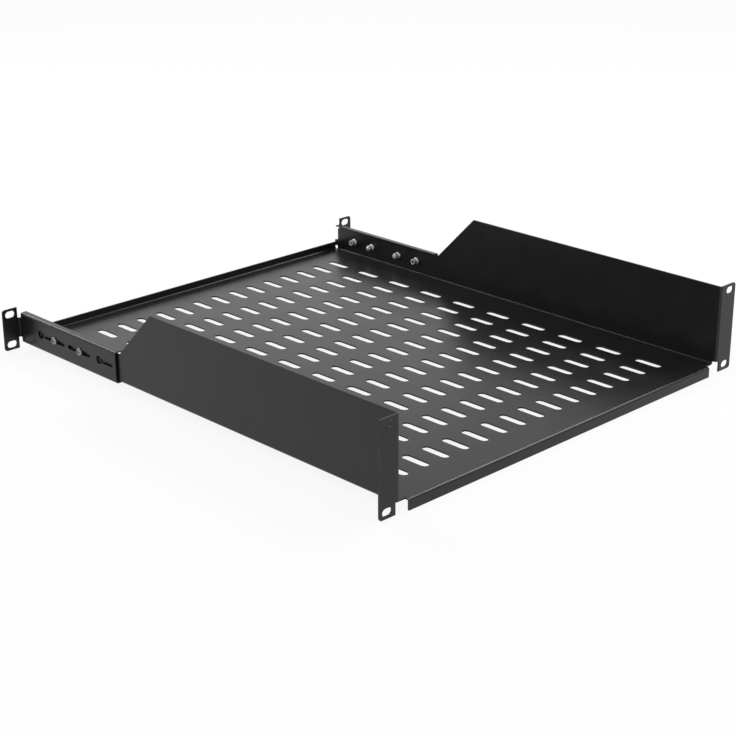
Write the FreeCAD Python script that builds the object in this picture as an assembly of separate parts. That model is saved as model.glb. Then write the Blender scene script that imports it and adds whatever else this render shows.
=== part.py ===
import FreeCAD, Part
import math
import os

from FreeCAD import Vector

# A vented fixed shelf for a 19 inch rack: one folded steel tray with front ears,
# and two slotted rear brackets that are screwed to its low rear walls.
# All sizes are in millimetres. X is across the rack, Y runs to the rear, Z is up.
# The origin is the centre of the front hole pattern, on the back face of the front ears.

# Rack standard
RACK_UNIT = 44.45
PANEL_SHORTFALL = 0.8
PANEL_WIDTH = 482.6
HOLE_FROM_EDGE = 8.75
HOLE_PAIR_MARGIN = 12.7
FRONT_UNITS = 2
REAR_UNITS = 1
RACK_HOLE_LENGTH = 11.0
RACK_HOLE_WIDTH = 7.0

# Sheet
SHEET = 1.5
BEND_RADIUS = 1.0
SLIDE_GAP = 0.3

# Tray
EAR_WIDTH = 21.8
EAR_CORNER_RADIUS = 3.0
EAR_FOOT_WIDTH = 18.3
TRAY_DEPTH = 541.5
FLOOR_RISE = 9.0
FRONT_LIP_BELOW_EARS = 1.5
SLANT_ANGLE = 45.0
LOW_WALL_LENGTH = 161.0
LIP_BEHIND_WALLS = 7.5
REAR_LIP_HEIGHT = 7.4
REAR_LIP_SIDE_GAP = 0.3
WALL_TAIL_HEIGHT = 10.0
CORNER_NOTCH_LENGTH = 4.6
CORNER_NOTCH_HEIGHT = 3.3
FRONT_RELIEF_WIDTH = 10.5
RELIEF_MARGIN = 0.5
EAR_BEND_RELIEF = 2.0

# Ventilation slots in the floor
SLOT_COLUMN_COUNT = 15
SLOT_ROW_COUNT = 10
SLOT_SIDE_MARGIN = 44.5
SLOT_FRONT_MARGIN = 49.0
SLOT_REAR_MARGIN = 51.5
SLOT_LENGTH = 30.5
SLOT_WIDTH = 8.5

# Straight chords that draw the round slot ends and the small round forms
SLOT_END_CHORD_COUNT = 4
ROUND_SIDE_COUNT = 10

# Points of an outline closer than this are one point
SAME_POINT = 1e-6

# Rear brackets
REAR_EAR_STANDOFF = 5.0
REAR_EAR_SIDE_GAP = 2.0
BRACKET_FLANGE = 7.0
BRACKET_FRONT_GAP = 4.0
BRACKET_NOTCH = 2.3
BRACKET_NOTCH_RADIUS = 1.0
BRACKET_NECK = 20.5

# Rivet nuts and screws
NUT_LINE_OFFSET = 1.2
NUT_INNER_PITCH = 43.0
NUT_OUTER_PITCH = 101.0
NUT_FLANGE_RADIUS = 4.6
NUT_FLANGE_THICKNESS = 1.0
NUT_BODY_RADIUS = 3.1
NUT_COLLAR_RADIUS = 4.1
NUT_COLLAR_LENGTH = 2.6
NUT_REACH = 7.0
NUT_SEAT_GAP = 0.05
SCREW_RADIUS = 2.0
SCREW_THREAD_GAP = 0.05
SCREW_HEAD_RADIUS = 3.9
SCREW_HEAD_HEIGHT = 2.0
SCREW_HEAD_ROUND = 1.2
SCREW_TIP_BEYOND_NUT = 0.8
SCREW_TIP_CHAMFER = 0.5
RECESS_REACH = 2.2
RECESS_WIDTH = 0.9
RECESS_DEPTH = 1.3

# Bracket slots that run on the screws
SLOT_RUN_REAR = 15.0
SLOT_RUN_FRONT = 17.5
KEYHOLE_GAP = 0.4
KEYHOLE_BRIDGE = 9.9
FRONT_SLOT_EDGE = 4.8

# Places that follow from the sizes above
OUTER_RADIUS = BEND_RADIUS + SHEET
FRONT_EAR_HEIGHT = FRONT_UNITS * RACK_UNIT - PANEL_SHORTFALL
REAR_EAR_HEIGHT = REAR_UNITS * RACK_UNIT - PANEL_SHORTFALL
FRONT_HOLE_RISE = FRONT_UNITS * RACK_UNIT - HOLE_PAIR_MARGIN
REAR_HOLE_RISE = REAR_UNITS * RACK_UNIT - HOLE_PAIR_MARGIN
EAR_EDGE = PANEL_WIDTH / 2
HOLE_X = EAR_EDGE - HOLE_FROM_EDGE
BOTTOM = -FRONT_EAR_HEIGHT / 2
TOP = FRONT_EAR_HEIGHT / 2
FRONT = -SHEET
WALL_OUT = EAR_EDGE - EAR_WIDTH
WALL_IN = WALL_OUT - SHEET
FLAT_HALF_WIDTH = WALL_IN - BEND_RADIUS
FLOOR_TOP = BOTTOM + FLOOR_RISE
FLOOR_UNDER = FLOOR_TOP - SHEET
RELIEF_DEPTH = OUTER_RADIUS + RELIEF_MARGIN
REAR = FRONT + TRAY_DEPTH
WALL_REAR = REAR - LIP_BEHIND_WALLS
WALL_TAIL_TOP = FLOOR_TOP + WALL_TAIL_HEIGHT
CORNER_NOTCH_FRONT = REAR - CORNER_NOTCH_LENGTH
SLOT_PITCH_X = 2 * (WALL_OUT - SLOT_SIDE_MARGIN) / (SLOT_COLUMN_COUNT - 1)
SLOT_PITCH_Y = (TRAY_DEPTH - SLOT_FRONT_MARGIN - SLOT_REAR_MARGIN) / (SLOT_ROW_COUNT - 1)
REAR_EAR_CENTRE = BOTTOM + REAR_EAR_HEIGHT / 2
BRACKET_UNDER = FLOOR_UNDER - SLIDE_GAP - SHEET
BRACKET_TOP = 2 * REAR_EAR_CENTRE - BRACKET_UNDER
LOW_WALL_TOP = BRACKET_TOP - SHEET - SLIDE_GAP
SLANT_RUN_PER_DROP = 1 / math.tan(math.radians(SLANT_ANGLE))
SLANT_END = WALL_REAR - LOW_WALL_LENGTH
SLANT_START = SLANT_END - (TOP - LOW_WALL_TOP) * SLANT_RUN_PER_DROP
WEB_IN = WALL_OUT + NUT_FLANGE_THICKNESS
WEB_OUT = WEB_IN + SHEET
REAR_EAR_INNER_EDGE = WEB_OUT + REAR_EAR_SIDE_GAP
REAR_EAR_FRONT = WALL_REAR + REAR_EAR_STANDOFF
FLANGE_REAR = REAR_EAR_FRONT - BRACKET_NOTCH
FLANGE_FACE_ON_SLANT = SLANT_START + (TOP - BRACKET_TOP + SHEET) * SLANT_RUN_PER_DROP
BRACKET_FRONT = FLANGE_FACE_ON_SLANT + BRACKET_FRONT_GAP
NUT_LINE = REAR_EAR_CENTRE + NUT_LINE_OFFSET
NUT_CENTRE = (BRACKET_FRONT + FLANGE_REAR) / 2
SCREW_PLACES = [NUT_CENTRE - NUT_INNER_PITCH / 2, NUT_CENTRE + NUT_INNER_PITCH / 2]
SPARE_PLACES = [NUT_CENTRE - NUT_OUTER_PITCH / 2, NUT_CENTRE + NUT_OUTER_PITCH / 2]
SLOT_HALF = SCREW_RADIUS + SLIDE_GAP
KEYHOLE_RADIUS = SCREW_HEAD_RADIUS + KEYHOLE_GAP


def in_xz(a, b):
    return Vector(a, 0, b)


def in_yz(a, b):
    return Vector(0, a, b)


def in_xy(a, b):
    return Vector(a, b, 0)


def in_floor(a, b):
    return Vector(b, a, 0)


def box(low, high):
    size = high - low
    return Part.makeBox(size.x, size.y, size.z, low)


def corner_points(before, corner, after, radius):
    """Start, middle and end of the arc that rounds one corner of a flat outline."""
    back = (before - corner).normalize()
    ahead = (after - corner).normalize()
    half = back.getAngle(ahead) / 2
    inset = radius / math.tan(half)
    centre = corner + (back + ahead).normalize() * (radius / math.sin(half))
    middle = centre + (corner - centre).normalize() * radius
    return corner + back * inset, middle, corner + ahead * inset


def outline_face(corners, plane):
    """Flat face from (a, b, radius) corners, each rounded by an arc where its radius is set."""
    points = [plane(a, b) for a, b, radius in corners]
    stops = []
    for index, (a, b, radius) in enumerate(corners):
        if radius:
            before = points[index - 1]
            after = points[(index + 1) % len(points)]
            stops.append(corner_points(before, points[index], after, radius))
        else:
            stops.append((points[index],))
    edges = []
    for index, stop in enumerate(stops):
        if len(stop) == 3:
            edges.append(Part.Arc(*stop).toShape())
        start = stop[-1]
        end = stops[(index + 1) % len(stops)][0]
        if start.distanceToPoint(end) > SAME_POINT:
            edges.append(Part.LineSegment(start, end).toShape())
    return Part.Face(Part.Wire(edges))


def sheet_section(points, plane):
    """Section of a bent sheet: a run of points on one face, thickened to its left."""
    runs = [(Vector(*ahead, 0) - Vector(*here, 0)).normalize() for here, ahead in zip(points, points[1:])]
    lefts = [Vector(-run.y, run.x, 0) for run in runs]
    near = [(*points[0], 0)]
    far = [(points[0][0] + lefts[0].x * SHEET, points[0][1] + lefts[0].y * SHEET, 0)]
    for index in range(1, len(points) - 1):
        turns_left = runs[index - 1].cross(runs[index]).z > 0
        near_radius = OUTER_RADIUS if turns_left else BEND_RADIUS
        far_radius = BEND_RADIUS if turns_left else OUTER_RADIUS
        shift = (lefts[index - 1] + lefts[index]) * SHEET
        near.append((*points[index], near_radius))
        far.append((points[index][0] + shift.x, points[index][1] + shift.y, far_radius))
    last = lefts[-1] * SHEET
    near.append((*points[-1], 0))
    far.append((points[-1][0] + last.x, points[-1][1] + last.y, 0))
    return outline_face(near + far[::-1], plane)


def polygon_face(points):
    return Part.Face(Part.makePolygon(points + points[:1]))


def slot_face(centre_a, centre_b, length, width, plane):
    """Round-ended slot that runs along the plane's first axis."""
    radius = width / 2
    left = centre_a - length / 2 + radius
    right = centre_a + length / 2 - radius
    low = centre_b - radius
    high = centre_b + radius
    edges = [
        Part.LineSegment(plane(left, low), plane(right, low)).toShape(),
        Part.Arc(plane(right, low), plane(right + radius, centre_b), plane(right, high)).toShape(),
        Part.LineSegment(plane(right, high), plane(left, high)).toShape(),
        Part.Arc(plane(left, high), plane(left - radius, centre_b), plane(left, low)).toShape(),
    ]
    return Part.Face(Part.Wire(edges))


def chord_slot_face(centre_a, centre_b, length, width, plane):
    """The same slot with each round end drawn as a few chords, for slots that repeat."""
    radius = width / 2
    straight = length / 2 - radius
    points = []
    for side in (1, -1):
        for chord in range(SLOT_END_CHORD_COUNT + 1):
            angle = math.pi * (chord / SLOT_END_CHORD_COUNT - 0.5)
            a = centre_a + side * (straight + radius * math.cos(angle))
            b = centre_b + side * radius * math.sin(angle)
            points.append(plane(a, b))
    return polygon_face(points)


def ring_points(place, x, radius):
    """Corners of a small round section about a fastener's line along X."""
    steps = [2 * math.pi * (side + 0.5) / ROUND_SIDE_COUNT for side in range(ROUND_SIDE_COUNT)]
    return [
        Vector(x, place + radius * math.cos(angle), NUT_LINE + radius * math.sin(angle)) for angle in steps
    ]


def sweep(face, start, stop, direction):
    moved = face.translated(direction * start)
    return moved.extrude(direction * (stop - start))


def both_sides(shape):
    return shape, shape.mirror(Vector(0, 0, 0), Vector(1, 0, 0))


def ear_plate(inner_edge, bottom, height, hole_rise, front_y):
    """Flat ear on the right side, with one rack hole near each end."""
    corners = [
        (inner_edge, bottom, 0),
        (EAR_EDGE, bottom, EAR_CORNER_RADIUS),
        (EAR_EDGE, bottom + height, EAR_CORNER_RADIUS),
        (inner_edge, bottom + height, 0),
    ]
    plate = sweep(outline_face(corners, in_xz), front_y, front_y + SHEET, Vector(0, 1, 0))
    centre = bottom + height / 2
    for rise in (-hole_rise / 2, hole_rise / 2):
        hole = slot_face(HOLE_X, centre + rise, RACK_HOLE_LENGTH, RACK_HOLE_WIDTH, in_xz)
        plate = plate.cut(sweep(hole, front_y, front_y + SHEET, Vector(0, 1, 0)))
    return plate


def floor_and_walls():
    section = sheet_section(
        [(-WALL_OUT, TOP), (-WALL_OUT, FLOOR_UNDER), (WALL_OUT, FLOOR_UNDER), (WALL_OUT, TOP)], in_xz
    )
    channel = sweep(section, RELIEF_DEPTH, REAR, Vector(0, 1, 0))
    side = [
        (RELIEF_DEPTH, FLOOR_UNDER, 0),
        (REAR, FLOOR_UNDER, 0),
        (REAR, WALL_TAIL_TOP, 0),
        (WALL_REAR, WALL_TAIL_TOP, LIP_BEHIND_WALLS),
        (WALL_REAR, LOW_WALL_TOP, 0),
        (SLANT_END, LOW_WALL_TOP, 0),
        (SLANT_START, TOP, 0),
        (RELIEF_DEPTH, TOP, 0),
    ]
    profile = sweep(outline_face(side, in_yz), -WALL_OUT, WALL_OUT, Vector(1, 0, 0))
    return channel.common(profile).cut(rear_corner_notch())


def rear_corner_notch():
    """Room for the rear lip's bend: the walls' low tails stand over it."""
    return box(
        Vector(-WALL_OUT, CORNER_NOTCH_FRONT, FLOOR_UNDER),
        Vector(WALL_OUT, REAR, FLOOR_TOP + CORNER_NOTCH_HEIGHT),
    )


def front_lip():
    half_width = WALL_IN - FRONT_RELIEF_WIDTH
    lip_bottom = BOTTOM - FRONT_LIP_BELOW_EARS
    section = sheet_section([(RELIEF_DEPTH, FLOOR_TOP), (FRONT, FLOOR_TOP), (FRONT, lip_bottom)], in_yz)
    return sweep(section, -half_width, half_width, Vector(1, 0, 0))


def rear_lip():
    """Flat floor between the corner notches, with the lip folded up from it."""
    lip_top = FLOOR_TOP + REAR_LIP_HEIGHT
    section = sheet_section([(CORNER_NOTCH_FRONT, FLOOR_UNDER), (REAR, FLOOR_UNDER), (REAR, lip_top)], in_yz)
    half_width = WALL_IN - REAR_LIP_SIDE_GAP
    return sweep(section, -half_width, half_width, Vector(1, 0, 0))


def front_ear():
    """Right front ear with the bend that joins it to the wall above the corner relief."""
    bend_end = WALL_IN + OUTER_RADIUS
    section = sheet_section([(WALL_IN, RELIEF_DEPTH), (WALL_IN, FRONT), (bend_end, FRONT)], in_xy)
    bend = sweep(section, FLOOR_TOP + EAR_BEND_RELIEF, TOP, Vector(0, 0, 1))
    return bend.fuse(ear_plate(bend_end, BOTTOM, FRONT_EAR_HEIGHT, FRONT_HOLE_RISE, FRONT))


def front_wall_relief():
    """Notch that frees the right front ear's foot from the wall and the floor."""
    return box(
        Vector(FLAT_HALF_WIDTH, FRONT, BOTTOM),
        Vector(EAR_EDGE - EAR_FOOT_WIDTH, RELIEF_DEPTH + RELIEF_MARGIN, FLOOR_TOP + EAR_BEND_RELIEF),
    )


def floor_slots():
    slots = []
    for column in range(SLOT_COLUMN_COUNT):
        across = (column - (SLOT_COLUMN_COUNT - 1) / 2) * SLOT_PITCH_X
        for row in range(SLOT_ROW_COUNT):
            along = FRONT + SLOT_FRONT_MARGIN + row * SLOT_PITCH_Y
            face = chord_slot_face(along, across, SLOT_LENGTH, SLOT_WIDTH, in_floor)
            slots.append(sweep(face, FLOOR_UNDER, FLOOR_TOP, Vector(0, 0, 1)))
    return Part.makeCompound(slots)


def nut_holes():
    radius = NUT_BODY_RADIUS + NUT_SEAT_GAP
    holes = []
    for place in SCREW_PLACES + SPARE_PLACES:
        face = polygon_face(ring_points(place, WALL_IN, radius))
        holes.append(face.extrude(Vector(SHEET, 0, 0)))
    return Part.makeCompound(holes)


def tray():
    sheet = floor_and_walls().fuse([front_lip(), rear_lip(), *both_sides(front_ear())])
    sheet = sheet.cut(Part.makeCompound(both_sides(front_wall_relief())))
    sheet = sheet.cut(Part.makeCompound(both_sides(nut_holes())))
    sheet = sheet.cut(floor_slots())
    return sheet.removeSplitter()


def bracket_channel():
    tip = WEB_OUT - BRACKET_FLANGE
    section = sheet_section(
        [(tip, BRACKET_UNDER), (WEB_OUT, BRACKET_UNDER), (WEB_OUT, BRACKET_TOP), (tip, BRACKET_TOP)], in_xz
    )
    return sweep(section, BRACKET_FRONT, FLANGE_REAR, Vector(0, 1, 0))


def bracket_neck():
    """Web between the flanges' rear ends and the ear, with the bend into the ear."""
    low = REAR_EAR_CENTRE - BRACKET_NECK / 2
    high = REAR_EAR_CENTRE + BRACKET_NECK / 2
    start = FLANGE_REAR - BRACKET_NOTCH_RADIUS
    section = sheet_section(
        [(WEB_OUT, start), (WEB_OUT, REAR_EAR_FRONT), (REAR_EAR_INNER_EDGE, REAR_EAR_FRONT)], in_xy
    )
    return sweep(section, low, high, Vector(0, 0, 1))


def bracket_notch_fillets():
    """Round roots of the two notches between the flanges and the ear."""
    pieces = []
    for side in (-1, 1):
        root = REAR_EAR_CENTRE + side * BRACKET_NECK / 2
        corners = [
            (FLANGE_REAR, root, 0),
            (FLANGE_REAR + BRACKET_NOTCH_RADIUS, root, 0),
            (FLANGE_REAR, root + side * BRACKET_NOTCH_RADIUS, 0),
        ]
        wedge = sweep(outline_face(corners, in_yz), WEB_IN, WEB_OUT, Vector(1, 0, 0))
        centre = Vector(WEB_IN, FLANGE_REAR + BRACKET_NOTCH_RADIUS, root + side * BRACKET_NOTCH_RADIUS)
        round_cut = Part.makeCylinder(BRACKET_NOTCH_RADIUS, SHEET, centre, Vector(1, 0, 0))
        pieces.append(wedge.cut(round_cut))
    return pieces


def bracket_slots():
    """Plain slot on the front screw, and two keyhole slots open at their rear ends."""
    front_screw, rear_screw = SCREW_PLACES
    plain = (front_screw - SLOT_RUN_REAR - SLOT_HALF, front_screw + SLOT_RUN_FRONT + SLOT_HALF)
    rear_keyhole = rear_screw + SLOT_RUN_FRONT + SLOT_HALF + KEYHOLE_RADIUS
    front_keyhole = plain[0] - KEYHOLE_BRIDGE - KEYHOLE_RADIUS
    runs = [
        plain,
        (rear_screw - SLOT_RUN_REAR - SLOT_HALF, rear_keyhole),
        (BRACKET_FRONT + FRONT_SLOT_EDGE, front_keyhole),
    ]
    cutters = []
    for start, stop in runs:
        face = chord_slot_face((start + stop) / 2, NUT_LINE, stop - start, 2 * SLOT_HALF, in_yz)
        cutters.append(sweep(face, WEB_IN, WEB_OUT, Vector(1, 0, 0)))
    for place in (rear_keyhole, front_keyhole):
        face = polygon_face(ring_points(place, WEB_IN, KEYHOLE_RADIUS))
        cutters.append(face.extrude(Vector(SHEET, 0, 0)))
    return cutters


def rear_bracket():
    bottom = REAR_EAR_CENTRE - REAR_EAR_HEIGHT / 2
    ear = ear_plate(REAR_EAR_INNER_EDGE, bottom, REAR_EAR_HEIGHT, REAR_HOLE_RISE, REAR_EAR_FRONT)
    sheet = bracket_channel().fuse([bracket_neck(), ear, *bracket_notch_fillets()])
    for cutter in bracket_slots():
        sheet = sheet.cut(cutter)
    return sheet.removeSplitter()


def turned(profile, place):
    """Small turned piece about a line along X, from the (x, radius) points of its outside."""
    rings = [ring_points(place, x, radius) for x, radius in profile]
    faces = [polygon_face(rings[0]), polygon_face(rings[-1])]
    for here, ahead in zip(rings, rings[1:]):
        for side in range(ROUND_SIDE_COUNT):
            faces.append(polygon_face([here[side - 1], here[side], ahead[side], ahead[side - 1]]))
    return Part.Solid(Part.Shell(faces)).removeSplitter()


def rivet_nut(place):
    """Blind rivet nut set in the right wall, with its collar swelled against the inside."""
    tip = WALL_IN - NUT_REACH
    profile = [
        (WEB_IN, NUT_FLANGE_RADIUS),
        (WALL_OUT, NUT_FLANGE_RADIUS),
        (WALL_OUT, NUT_BODY_RADIUS),
        (WALL_IN, NUT_BODY_RADIUS),
        (WALL_IN, NUT_COLLAR_RADIUS),
        (WALL_IN - NUT_COLLAR_LENGTH, NUT_BODY_RADIUS),
        (tip, NUT_BODY_RADIUS),
    ]
    bore = polygon_face(ring_points(place, tip, SCREW_RADIUS + SCREW_THREAD_GAP))
    return turned(profile, place).cut(bore.extrude(Vector(WEB_IN - tip, 0, 0)))


def cross_recess(place, crown):
    """Two crossing slots sunk in a screw's crown."""
    arms = []
    for reach_y, reach_z in ((RECESS_REACH, RECESS_WIDTH / 2), (RECESS_WIDTH / 2, RECESS_REACH)):
        low = Vector(crown - RECESS_DEPTH, place - reach_y, NUT_LINE - reach_z)
        high = Vector(crown, place + reach_y, NUT_LINE + reach_z)
        arms.append(box(low, high))
    return arms[0].fuse(arms[1])


def bracket_screw(place):
    """Pan head screw through the bracket's web into a rivet nut of the right wall."""
    tip = WALL_IN - NUT_REACH - SCREW_TIP_BEYOND_NUT
    crown = WEB_OUT + SCREW_HEAD_HEIGHT
    profile = [
        (tip, SCREW_RADIUS - SCREW_TIP_CHAMFER),
        (tip + SCREW_TIP_CHAMFER, SCREW_RADIUS),
        (WEB_OUT, SCREW_RADIUS),
        (WEB_OUT, SCREW_HEAD_RADIUS),
        (crown - SCREW_HEAD_ROUND, SCREW_HEAD_RADIUS),
        (crown - SCREW_HEAD_ROUND / 3, SCREW_HEAD_RADIUS - SCREW_HEAD_ROUND / 3),
        (crown, SCREW_HEAD_RADIUS - SCREW_HEAD_ROUND),
    ]
    return turned(profile, place).cut(cross_recess(place, crown))


def fastener_group(solids):
    sides = [both_sides(solid) for solid in solids]
    return Part.makeCompound([solid for pair in sides for solid in pair])


def main():
    os.makedirs("parts", exist_ok=True)
    right_bracket, left_bracket = both_sides(rear_bracket())
    nuts = [rivet_nut(place) for place in SCREW_PLACES + SPARE_PLACES]
    screws = [bracket_screw(place) for place in SCREW_PLACES]
    nodes = {
        "tray": tray(),
        "left_rear_bracket": left_bracket,
        "right_rear_bracket": right_bracket,
        "rivet_nuts": fastener_group(nuts),
        "bracket_screws": fastener_group(screws),
    }
    for name, shape in nodes.items():
        shape.exportStep(f"parts/{name}.step")


main()
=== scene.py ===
import math

import bmesh
import bpy
from mathutils import Matrix, Vector


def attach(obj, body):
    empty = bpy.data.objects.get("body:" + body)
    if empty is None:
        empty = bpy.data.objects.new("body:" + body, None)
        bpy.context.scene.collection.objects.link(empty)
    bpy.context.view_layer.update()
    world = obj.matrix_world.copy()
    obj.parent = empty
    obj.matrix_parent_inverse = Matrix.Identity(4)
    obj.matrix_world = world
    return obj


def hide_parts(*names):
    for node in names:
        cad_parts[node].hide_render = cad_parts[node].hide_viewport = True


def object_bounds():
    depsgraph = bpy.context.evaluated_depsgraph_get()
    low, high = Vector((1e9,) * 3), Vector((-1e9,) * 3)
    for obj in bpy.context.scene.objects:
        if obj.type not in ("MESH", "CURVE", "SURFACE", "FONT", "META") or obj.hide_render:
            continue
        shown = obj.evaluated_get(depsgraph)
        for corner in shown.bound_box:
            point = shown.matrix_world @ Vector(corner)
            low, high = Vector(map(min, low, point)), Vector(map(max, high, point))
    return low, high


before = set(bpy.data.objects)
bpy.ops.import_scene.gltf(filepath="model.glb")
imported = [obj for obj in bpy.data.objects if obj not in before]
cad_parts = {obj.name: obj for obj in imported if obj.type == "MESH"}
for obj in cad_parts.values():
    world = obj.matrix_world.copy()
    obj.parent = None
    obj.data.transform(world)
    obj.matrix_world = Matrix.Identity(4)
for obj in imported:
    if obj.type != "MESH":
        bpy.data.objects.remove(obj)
cad_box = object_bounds()

MM = 0.001
QUARTER_TURN = math.pi / 2
WELD_DISTANCE = 1e-6
WHITE = (1, 1, 1, 1)

# Sheets: the bends are smooth, and the cut edges have a small round
SHEETS = ("tray", "left_rear_bracket", "right_rear_bracket")
FLAT_ANGLE = math.radians(0.5)
BEND_SHADE_ANGLE = math.radians(35)
EDGE_ANGLE = math.radians(50)
EDGE_ROUND = 0.25 * MM
EDGE_SEGMENTS = 2

# Turned fasteners, in millimetres: depths run inwards from a piece's outer end
ROUND_SIDES = 40
SHARP_ANGLE = math.radians(40)
EDGE_BREAK = 0.2
THREAD_PITCH = 0.7
THREAD_DEPTH = 0.3
THREAD_STEPS = 6
NUT_FLANGE = 1.0
NUT_WALL = 1.5
NUT_BODY_RADIUS = 3.1
NUT_COLLAR_RADIUS = 4.1
NUT_COLLAR_LENGTH = 2.6
NUT_COLLAR_STEPS = 8
NUT_COLLAR_CURVE = 1.3
NUT_BORE_RADIUS = 2.05
NUT_COUNTERSINK = 0.55
NUT_END_ROUND = 0.5
NUT_END_STEPS = 4
SCREW_RADIUS = 2.0
SCREW_HEAD_HEIGHT = 1.97
SCREW_DOME = 0.25
SCREW_CROWN_STEPS = 12
SCREW_CROWN_CURVE = 1.6
SCREW_TIP_CHAMFER = 0.5
RECESS_CLEARANCE = 1.0
RECESS_REACH = 2.25
RECESS_FOOT_REACH = 1.0
RECESS_WIDTH = 1.25
RECESS_FOOT_WIDTH = 0.8
RECESS_DEPTH = 1.6

# Finishes: a noise is its scale and detail, and greys and roughness run along it.
# A coat smoother than about 0.274 gets worm-like marks from the render's denoiser.
NOISE_SPAN = (0.3, 0.7)
COAT_SPECULAR = 0.32
COAT_TINT = (0.91, 1.0, 0.94, 1)
COAT_GREYS = ((0.0, 0.006), (0.75, 0.012), (1.0, 0.05))
COAT_ROUGHNESS = (0.285, 0.335)
MOTTLE_NOISE = (38.0, 4.0)
PEEL_NOISE = (900.0, 2.0)
PEEL_STRENGTH = 0.1
PEEL_HEIGHT = 0.3 * MM
BLOTCH_NOISE = (420.0, 3.0)
NUT_GREYS = ((0.0, 0.05), (0.45, 0.8), (1.0, 0.95))
NUT_ROUGHNESS = (0.52, 0.66)
SCREW_GREYS = ((0.0, 0.02), (0.45, 0.27), (0.75, 0.36), (1.0, 0.95))
SCREW_ROUGHNESS = (0.36, 0.48)

# Edge wear moves the noise up the greys where a coat is worn; painted shade moves it down in
# hollows.
# Fasteners have one shift of painted light and shade on their inner ends, and another on sides and
# outer faces.
EDGE_WEAR = 0.5
EDGE_WEAR_REACH = 0.5 * MM
EDGE_LIKENESS = (0.97, 0.85)
# Painted shade: ambient occlusion darkens the fasteners' colour in recesses, threads and gaps
HOLLOW_PAINTED_SHADE = 0.85
PAINTED_SHADE_REACH = 3.0 * MM
PAINTED_SHADE_OPENNESS = (0.35, 0.9)
# Painted light and shade by facing: screw tips lighter, nut sides and outer faces darker
PAINTED_FACING_SPAN = (-0.06, 0.0)
NUT_PAINTED_SHADE = (0.0, -0.6)
SCREW_PAINTED_LIGHT = (0.55, 0.0)

# Camera, as the photograph was taken: angles in degrees, lengths in metres
VIEW_AZIMUTH = -44.093
VIEW_ELEVATION = 21.379
VIEW_ROLL = -0.274
VIEW_TARGET = Vector((-0.01596, 0.24322, -0.04211))
VIEW_DISTANCE = 1.64536
SENSOR_MM = 36.0
LENS_MM = 82.012

# Studio, in metres and watts: the white backdrop gives way to a darker ceiling
# between two heights of the line of sight
FLOOR_SIZE = 12.0
FLOOR_COLOUR = (0.8, 0.8, 0.8, 1)
FLOOR_WHITE_SHARE = 0.9
WORLD_STRENGTH = 0.4
BACKDROP_HEIGHTS = (0.3, 0.58)
BACKDROP_STRENGTHS = (1.0, 0.25)

# Soft lights: name, place, aim, width, height and power
SOFTBOXES = (
    ("right_strip", (1.5, -0.1, 1.66), (0, 0, 0), 1.7, 0.62, 33),
    ("rear_strip", (-0.3, 2.0, 1.15), (-0.22, 0.45, 0), 1.3, 0.35, 13),
    ("rear_top", (-0.1, 1.9, 2.3), (0, 0.3, 0), 1.2, 0.8, 15),
    ("left_fill", (-1.6, -0.7, 1.5), (0.1, 0.4, 0), 1.2, 0.9, 10),
    ("backdrop", (1.7, 2.1, 0.62), (0, 0.3, 0), 2.0, 1.1, 2.8),
)


def new_material(name):
    """Node material, its tree and its shader."""
    material = bpy.data.materials.new(name)
    material.use_nodes = True
    tree = material.node_tree
    return material, tree, tree.nodes["Principled BSDF"]


def add_node(tree, kind, **inputs):
    """Node with values set on its inputs."""
    node = tree.nodes.new(kind)
    for name, value in inputs.items():
        node.inputs[name].default_value = value
    return node


def combine(tree, kind, operation, first, second):
    """Math or Vector Math node of two linked values."""
    node = tree.nodes.new(kind)
    node.operation = operation
    tree.links.new(first, node.inputs[0])
    tree.links.new(second, node.inputs[1])
    return node


def ramp(tree, factor, span, values):
    """Value that goes from the first to the second while a linked factor crosses its span."""
    node = tree.nodes.new("ShaderNodeMapRange")
    names = ("From Min", "From Max", "To Min", "To Max")
    for name, value in zip(names, (*span, *values)):
        node.inputs[name].default_value = value
    tree.links.new(factor, node.inputs["Value"])
    return node.outputs["Result"]


def noise(tree, scale, detail):
    """Noise fixed to the object."""
    node = add_node(tree, "ShaderNodeTexNoise", Scale=scale, Detail=detail)
    place = tree.nodes.new("ShaderNodeTexCoord").outputs["Object"]
    tree.links.new(place, node.inputs["Vector"])
    return node.outputs["Fac"]


def edge_wear(tree):
    """0 on flat faces and bends, and up to EDGE_WEAR where a rounded normal leaves a cut edge's."""
    rounded = add_node(tree, "ShaderNodeBevel", Radius=EDGE_WEAR_REACH).outputs["Normal"]
    own = tree.nodes.new("ShaderNodeNewGeometry").outputs["True Normal"]
    likeness = combine(tree, "ShaderNodeVectorMath", "DOT_PRODUCT", rounded, own)
    return ramp(tree, likeness.outputs["Value"], EDGE_LIKENESS, (0, EDGE_WEAR))


def painted_hollow_shade(tree):
    """Painted shade from ambient occlusion: 0 in the open, and down to the full painted-shade shift
    in recesses, threads and gaps.
    """
    openness = add_node(tree, "ShaderNodeAmbientOcclusion", Distance=PAINTED_SHADE_REACH)
    return ramp(tree, openness.outputs["AO"], PAINTED_SHADE_OPENNESS, (-HOLLOW_PAINTED_SHADE, 0))


def painted_facing_light(tree, painted_facing_shifts):
    """Painted light and shade by facing: one shift on faces turned to the shelf's middle, and
    another on sides and outer faces.
    """
    surface = tree.nodes.new("ShaderNodeTexCoord").outputs
    outward = combine(
        tree, "ShaderNodeVectorMath", "MULTIPLY", surface["Object"], surface["Normal"]
    )
    across = tree.nodes.new("ShaderNodeSeparateXYZ")
    tree.links.new(outward.outputs["Vector"], across.inputs["Vector"])
    return ramp(tree, across.outputs["X"], PAINTED_FACING_SPAN, painted_facing_shifts)


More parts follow.
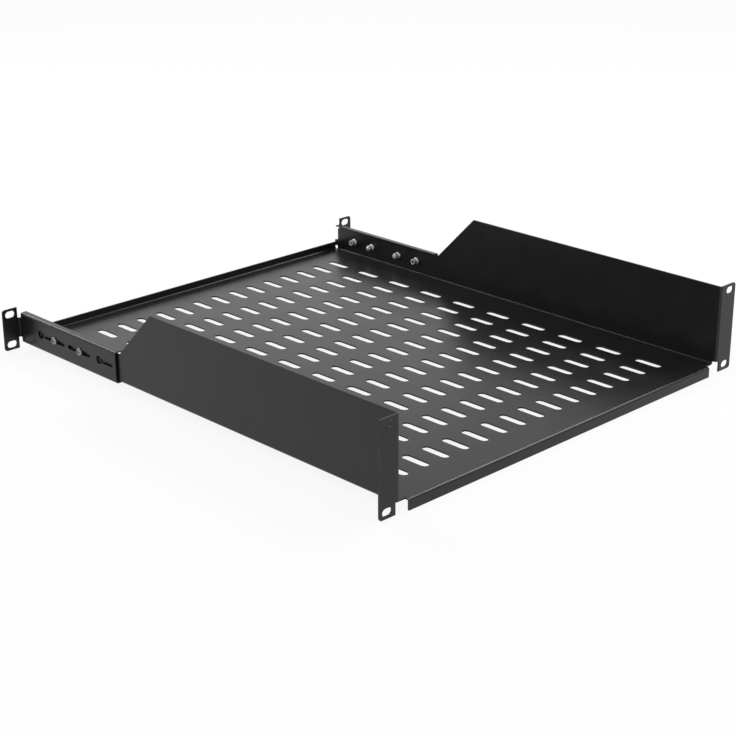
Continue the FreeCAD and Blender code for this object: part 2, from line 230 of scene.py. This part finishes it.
def stained_colour(tree, stain, shift, greys):
    """Greys along a noise that a shift has moved."""
    total = combine(tree, "ShaderNodeMath", "ADD", stain, shift)
    colour = tree.nodes.new("ShaderNodeValToRGB")
    stops = colour.color_ramp.elements
    while len(stops) < len(greys):
        stops.new(0.5)
    for stop, (position, grey) in zip(stops, greys):
        stop.position = position
        stop.color = (grey, grey, grey, 1)
    tree.links.new(total.outputs["Value"], colour.inputs["Fac"])
    return colour.outputs["Color"]


def powder_coat():
    """Black satin powder coat: fine orange peel, faint mottling, and thinner on cut edges."""
    material, tree, shader = new_material("black_powder_coat")
    shader.inputs["Specular IOR Level"].default_value = COAT_SPECULAR
    shader.inputs["Specular Tint"].default_value = COAT_TINT
    mottle = noise(tree, *MOTTLE_NOISE)
    colour = stained_colour(tree, mottle, edge_wear(tree), COAT_GREYS)
    tree.links.new(colour, shader.inputs["Base Color"])
    roughness = ramp(tree, mottle, NOISE_SPAN, COAT_ROUGHNESS)
    tree.links.new(roughness, shader.inputs["Roughness"])
    bump = add_node(tree, "ShaderNodeBump", Strength=PEEL_STRENGTH, Distance=PEEL_HEIGHT)
    tree.links.new(noise(tree, *PEEL_NOISE), bump.inputs["Height"])
    tree.links.new(bump.outputs["Normal"], shader.inputs["Normal"])
    return material


def zinc_plate(name, greys, roughness, painted_facing_shifts):
    """Plated steel of small fasteners: blotched, with painted shade in its hollows and painted
    light and shade by which way a face is turned.
    """
    material, tree, shader = new_material(name)
    shader.inputs["Metallic"].default_value = 1.0
    blotch = noise(tree, *BLOTCH_NOISE)
    # Painted shade in hollows plus painted light and shade by facing
    shift = combine(
        tree, "ShaderNodeMath", "ADD", painted_hollow_shade(tree), painted_facing_light(tree, painted_facing_shifts)
    )
    colour = stained_colour(tree, blotch, shift.outputs["Value"], greys)
    tree.links.new(colour, shader.inputs["Base Color"])
    tree.links.new(ramp(tree, blotch, NOISE_SPAN, roughness), shader.inputs["Roughness"])
    return material


def smooth_by_angle():
    """Node group that shades a mesh smooth and keeps its steeper edges sharp."""
    group = bpy.data.node_groups.new("smooth_by_angle", "GeometryNodeTree")
    for way in ("INPUT", "OUTPUT"):
        group.interface.new_socket("Geometry", in_out=way, socket_type="NodeSocketGeometry")
    smooth = group.nodes.new("GeometryNodeSetShadeSmooth")
    sharp = group.nodes.new("GeometryNodeSetShadeSmooth")
    sharp.domain = "EDGE"
    sharp.inputs["Shade Smooth"].default_value = False
    steep = group.nodes.new("FunctionNodeCompare")
    steep.inputs["B"].default_value = BEND_SHADE_ANGLE
    angle = group.nodes.new("GeometryNodeInputMeshEdgeAngle")
    start = group.nodes.new("NodeGroupInput")
    end = group.nodes.new("NodeGroupOutput")
    group.links.new(start.outputs["Geometry"], smooth.inputs["Geometry"])
    group.links.new(smooth.outputs["Geometry"], sharp.inputs["Geometry"])
    group.links.new(angle.outputs["Unsigned Angle"], steep.inputs["A"])
    group.links.new(steep.outputs["Result"], sharp.inputs["Selection"])
    group.links.new(sharp.outputs["Geometry"], end.inputs["Geometry"])
    return group


def add_weld(piece):
    """Modifier that joins vertices at the same place."""
    piece.modifiers.new("weld", "WELD").merge_threshold = WELD_DISTANCE


def soften_sheet(node, shading):
    """Smooth bends and rounded cut edges, as modifiers over a CAD mesh that stays as it is."""
    add_weld(node)
    flat = node.modifiers.new("flat_faces", "DECIMATE")
    flat.decimate_type = "DISSOLVE"
    flat.angle_limit = FLAT_ANGLE
    node.modifiers.new("smooth_bends", "NODES").node_group = shading
    edges = node.modifiers.new("round_edges", "BEVEL")
    edges.limit_method = "ANGLE"
    edges.angle_limit = EDGE_ANGLE
    edges.width = EDGE_ROUND
    edges.segments = EDGE_SEGMENTS
    node.modifiers.new("flat_normals", "WEIGHTED_NORMAL").keep_sharp = True


def solid_boxes(node):
    """Lowest and highest corner of each separate solid in a CAD node."""
    mesh = bmesh.new()
    mesh.from_mesh(node.data)
    bmesh.ops.remove_doubles(mesh, verts=mesh.verts, dist=WELD_DISTANCE)
    boxes = []
    for start in mesh.verts:
        if start.tag:
            continue
        start.tag = True
        reached = [start]
        for vert in reached:
            for edge in vert.link_edges:
                other = edge.other_vert(vert)
                if not other.tag:
                    other.tag = True
                    reached.append(other)
        spans = list(zip(*(vert.co for vert in reached)))
        low = Vector([min(span) for span in spans])
        high = Vector([max(span) for span in spans])
        boxes.append((low, high))
    mesh.free()
    return boxes


def outer_end(box):
    """Centre of a fastener's box, its side of the shelf as 1 or -1, and its outermost X."""
    low, high = box
    centre = (low + high) / 2
    side = math.copysign(1, centre.x)
    return centre, side, high.x if side > 0 else low.x


def length_and_radius(box):
    """Length along X and largest radius of a fastener, in millimetres."""
    low, high = box
    return (high.x - low.x) / MM, (high.z - low.z) / 2 / MM


def add_skin(mesh, loops, ring):
    """Adds faces along loops of vertices, which close into a ring or get a face on each end."""
    pairs = list(zip(loops, loops[1:]))
    if ring:
        pairs.append((loops[-1], loops[0]))
    else:
        mesh.faces.new(loops[0])
        mesh.faces.new(loops[-1])
    for here, ahead in pairs:
        for step in range(len(here)):
            mesh.faces.new((here[step - 1], here[step], ahead[step], ahead[step - 1]))


def thread_wave(turns):
    """0 at a thread's crest and 1 at its root, once in each turn."""
    return 1 - abs(2 * (turns % 1) - 1)


def thread_run(start, stop, radius, depth):
    """Profile points along a thread, close enough to draw its turns."""
    span = stop - start
    count = math.ceil(span / THREAD_PITCH * THREAD_STEPS)
    return [(start + span * step / count, radius, depth) for step in range(count + 1)]


def add_turned(mesh, box, profile, ring):
    """Adds a piece turned about a line along X; a ring has a bore.

    The profile's points are a depth, a radius and a thread depth.
    """
    centre, side, outer = outer_end(box)
    circles = []
    for depth, radius, thread in profile:
        circle = []
        for step in range(ROUND_SIDES):
            share = step / ROUND_SIDES
            reach = MM * (radius - thread * thread_wave(depth / THREAD_PITCH - share))
            angle = side * 2 * math.pi * share
            place = (
                outer - side * MM * depth,
                centre.y + reach * math.cos(angle),
                centre.z + reach * math.sin(angle),
            )
            circle.append(mesh.verts.new(place))
        circles.append(circle)
    add_skin(mesh, circles, ring)


def nut_profile(box):
    """Blind rivet nut: flange, body through the wall, swelled collar, barrel and threaded bore."""
    length, flange_radius = length_and_radius(box)
    inner_wall = NUT_FLANGE + NUT_WALL
    swell = NUT_COLLAR_RADIUS - NUT_BODY_RADIUS
    profile = [
        (0, flange_radius - EDGE_BREAK, 0),
        (EDGE_BREAK, flange_radius, 0),
        (NUT_FLANGE, flange_radius, 0),
        (NUT_FLANGE, NUT_BODY_RADIUS, 0),
        (inner_wall, NUT_BODY_RADIUS, 0),
    ]
    for step in range(NUT_COLLAR_STEPS + 1):
        share = step / NUT_COLLAR_STEPS
        depth = inner_wall + NUT_COLLAR_LENGTH * share
        bulge = swell * math.cos(QUARTER_TURN * share ** NUT_COLLAR_CURVE)
        profile.append((depth, NUT_BODY_RADIUS + bulge, 0))
    for step in range(NUT_END_STEPS + 1):
        angle = QUARTER_TURN * step / NUT_END_STEPS
        depth = length - NUT_END_ROUND * (1 - math.sin(angle))
        profile.append((depth, NUT_BODY_RADIUS - NUT_END_ROUND * (1 - math.cos(angle)), 0))
    profile.append((length, NUT_BORE_RADIUS + THREAD_DEPTH, 0))
    bore = thread_run(NUT_COUNTERSINK, length - EDGE_BREAK, NUT_BORE_RADIUS, -THREAD_DEPTH)
    profile.extend(reversed(bore))
    profile.append((0, NUT_BORE_RADIUS + THREAD_DEPTH + NUT_COUNTERSINK, 0))
    return profile


def screw_profile(box):
    """Pan head screw: domed crown, rounded rim, threaded shank and chamfered tip."""
    length, head_radius = length_and_radius(box)
    rim = SCREW_HEAD_HEIGHT - SCREW_DOME
    profile = []
    for step in range(1, SCREW_CROWN_STEPS + 1):
        angle = QUARTER_TURN * step / SCREW_CROWN_STEPS
        depth = SCREW_DOME + rim * (1 - math.cos(angle)) ** SCREW_CROWN_CURVE
        profile.append((depth * math.sin(angle) ** 2, head_radius * math.sin(angle), 0))
    profile.append((SCREW_HEAD_HEIGHT, SCREW_RADIUS, 0))
    tip = length - SCREW_TIP_CHAMFER
    profile.extend(thread_run(SCREW_HEAD_HEIGHT + EDGE_BREAK, tip, SCREW_RADIUS, THREAD_DEPTH))
    profile.append((length, SCREW_RADIUS - SCREW_TIP_CHAMFER, 0))
    return profile


def add_recess(mesh, box):
    """Adds the tapered cross that is sunk in a screw's crown."""
    centre, side, outer = outer_end(box)
    sections = (
        (outer + side * MM * RECESS_CLEARANCE, RECESS_REACH, RECESS_WIDTH),
        (outer, RECESS_REACH, RECESS_WIDTH),
        (outer - side * MM * RECESS_DEPTH, RECESS_FOOT_REACH, RECESS_FOOT_WIDTH),
    )
    loops = []
    for x, reach, width in sections:
        half = width / 2
        arm = (Vector((reach, -half)), Vector((reach, half)), Vector((half, half)))
        loop = []
        for turn in range(4):
            spin = Matrix.Rotation(QUARTER_TURN * turn, 2)
            for corner in arm:
                y, z = spin @ corner * MM
                loop.append(mesh.verts.new((x, centre.y + y, centre.z + z)))
        loops.append(loop)
    add_skin(mesh, loops, ring=False)


def mesh_object(mesh, name):
    """Object of a finished mesh, smooth apart from its steeper edges."""
    bmesh.ops.recalc_face_normals(mesh, faces=mesh.faces)
    for face in mesh.faces:
        face.smooth = True
    for edge in mesh.edges:
        edge.smooth = edge.calc_face_angle() < SHARP_ANGLE
    data = bpy.data.meshes.new(name)
    mesh.to_mesh(data)
    mesh.free()
    piece = bpy.data.objects.new(name, data)
    bpy.context.collection.objects.link(piece)
    return piece


def cut_away(piece, cutter):
    """Cuts one object out of another and keeps the result as a plain mesh."""
    piece.modifiers.new("cut", "BOOLEAN").object = cutter
    add_weld(piece)
    graph = bpy.context.evaluated_depsgraph_get()
    result = bpy.data.meshes.new_from_object(piece.evaluated_get(graph))
    piece.modifiers.clear()
    piece.data = result
    bpy.data.objects.remove(cutter)


def fine_nuts():
    """Round rivet nuts with threads, one in each CAD nut's place."""
    mesh = bmesh.new()
    for box in solid_boxes(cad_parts["rivet_nuts"]):
        add_turned(mesh, box, nut_profile(box), ring=True)
    return mesh_object(mesh, "fine_rivet_nuts")


def fine_screws():
    """Round screws with threads and a cross recess, one in each CAD screw's place."""
    mesh = bmesh.new()
    crosses = bmesh.new()
    for box in solid_boxes(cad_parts["bracket_screws"]):
        add_turned(mesh, box, screw_profile(box), ring=False)
        add_recess(crosses, box)
    piece = mesh_object(mesh, "fine_bracket_screws")
    cut_away(piece, mesh_object(crosses, "recesses"))
    return piece


def dress_sheets():
    """Coat and softened edges on the CAD sheets."""
    coat = powder_coat()
    shading = smooth_by_angle()
    for name in SHEETS:
        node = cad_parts[name]
        node.data.materials.clear()
        node.data.materials.append(coat)
        soften_sheet(node, shading)


def dress_fasteners():
    """Round threaded fasteners in place of the CAD ones."""
    nut_zinc = zinc_plate("nut_zinc", NUT_GREYS, NUT_ROUGHNESS, NUT_PAINTED_SHADE)
    screw_zinc = zinc_plate("screw_zinc", SCREW_GREYS, SCREW_ROUGHNESS, SCREW_PAINTED_LIGHT)
    fasteners = (
        (fine_nuts(), "rivet_nuts", nut_zinc),
        (fine_screws(), "bracket_screws", screw_zinc),
    )
    for piece, node, finish in fasteners:
        piece.data.materials.append(finish)
        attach(piece, "shelf")
        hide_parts(node)


def seen_or_mirrored(tree):
    """1 for camera, glossy and transmission rays, and 0 for the rays that carry diffuse light."""
    path = tree.nodes.new("ShaderNodeLightPath").outputs
    total = path["Is Camera Ray"]
    for name in ("Is Glossy Ray", "Is Transmission Ray"):
        larger = combine(tree, "ShaderNodeMath", "MAXIMUM", total, path[name])
        total = larger.outputs["Value"]
    return total


def studio_floor():
    """White floor with a faint shadow: mostly its own white, and a little of its lit colour."""
    bpy.ops.mesh.primitive_plane_add(size=FLOOR_SIZE, location=(0, 0, cad_box[0][2]))
    floor = bpy.context.object
    floor.name = "studio_floor"
    material, tree, shader = new_material("studio_floor")
    shader.inputs["Base Color"].default_value = FLOOR_COLOUR
    shader.inputs["Roughness"].default_value = 1.0
    shader.inputs["Specular IOR Level"].default_value = 0.0
    glow = add_node(tree, "ShaderNodeEmission", Strength=1.0)
    mix = tree.nodes.new("ShaderNodeMixShader")
    share = ramp(tree, seen_or_mirrored(tree), (0, 1), (0.0, FLOOR_WHITE_SHARE))
    tree.links.new(share, mix.inputs["Fac"])
    tree.links.new(shader.outputs["BSDF"], mix.inputs[1])
    tree.links.new(glow.outputs["Emission"], mix.inputs[2])
    tree.links.new(mix.outputs["Shader"], tree.nodes["Material Output"].inputs["Surface"])
    floor.data.materials.append(material)


def studio_world():
    """Soft light from all round, and a white backdrop where the world is seen or mirrored."""
    world = bpy.data.worlds.new("studio")
    bpy.context.scene.world = world
    world.use_nodes = True
    tree = world.node_tree
    background = tree.nodes["Background"]
    background.inputs["Color"].default_value = WHITE
    sight = tree.nodes.new("ShaderNodeTexCoord").outputs["Generated"]
    heading = tree.nodes.new("ShaderNodeSeparateXYZ")
    tree.links.new(sight, heading.inputs["Vector"])
    backdrop = ramp(tree, heading.outputs["Z"], BACKDROP_HEIGHTS, BACKDROP_STRENGTHS)
    strength = ramp(tree, seen_or_mirrored(tree), (0, 1), (WORLD_STRENGTH, 1.0))
    tree.links.new(backdrop, strength.node.inputs["To Max"])
    tree.links.new(strength, background.inputs["Strength"])


def softbox(name, place, aim, width, height, power):
    """Rectangular area light turned to a point."""
    light = bpy.data.lights.new(name, "AREA")
    light.shape = "RECTANGLE"
    light.size = width
    light.size_y = height
    light.energy = power
    lamp = bpy.data.objects.new(name, light)
    lamp.location = place
    lamp.rotation_euler = (Vector(aim) - Vector(place)).to_track_quat("-Z", "Y").to_euler()
    bpy.context.collection.objects.link(lamp)


def photo_camera():
    """Camera where the photograph was taken from."""
    azimuth = math.radians(VIEW_AZIMUTH)
    elevation = math.radians(VIEW_ELEVATION)
    back = Vector((
        math.sin(azimuth) * math.cos(elevation),
        -math.cos(azimuth) * math.cos(elevation),
        math.sin(elevation),
    ))
    right = Vector((math.cos(azimuth), math.sin(azimuth), 0))
    axes = Matrix((right, back.cross(right), back)).transposed().to_4x4()
    place = Matrix.Translation(VIEW_TARGET + back * VIEW_DISTANCE)
    roll = Matrix.Rotation(math.radians(VIEW_ROLL), 4, "Z")
    data = bpy.data.cameras.new("photo_camera")
    data.sensor_width = SENSOR_MM
    data.lens = LENS_MM
    camera = bpy.data.objects.new("photo_camera", data)
    camera.matrix_world = place @ axes @ roll
    bpy.context.collection.objects.link(camera)
    bpy.context.scene.camera = camera


dress_sheets()
dress_fasteners()
studio_floor()
studio_world()
for light_facts in SOFTBOXES:
    softbox(*light_facts)
photo_camera()
bpy.context.scene.view_settings.view_transform = "Standard"
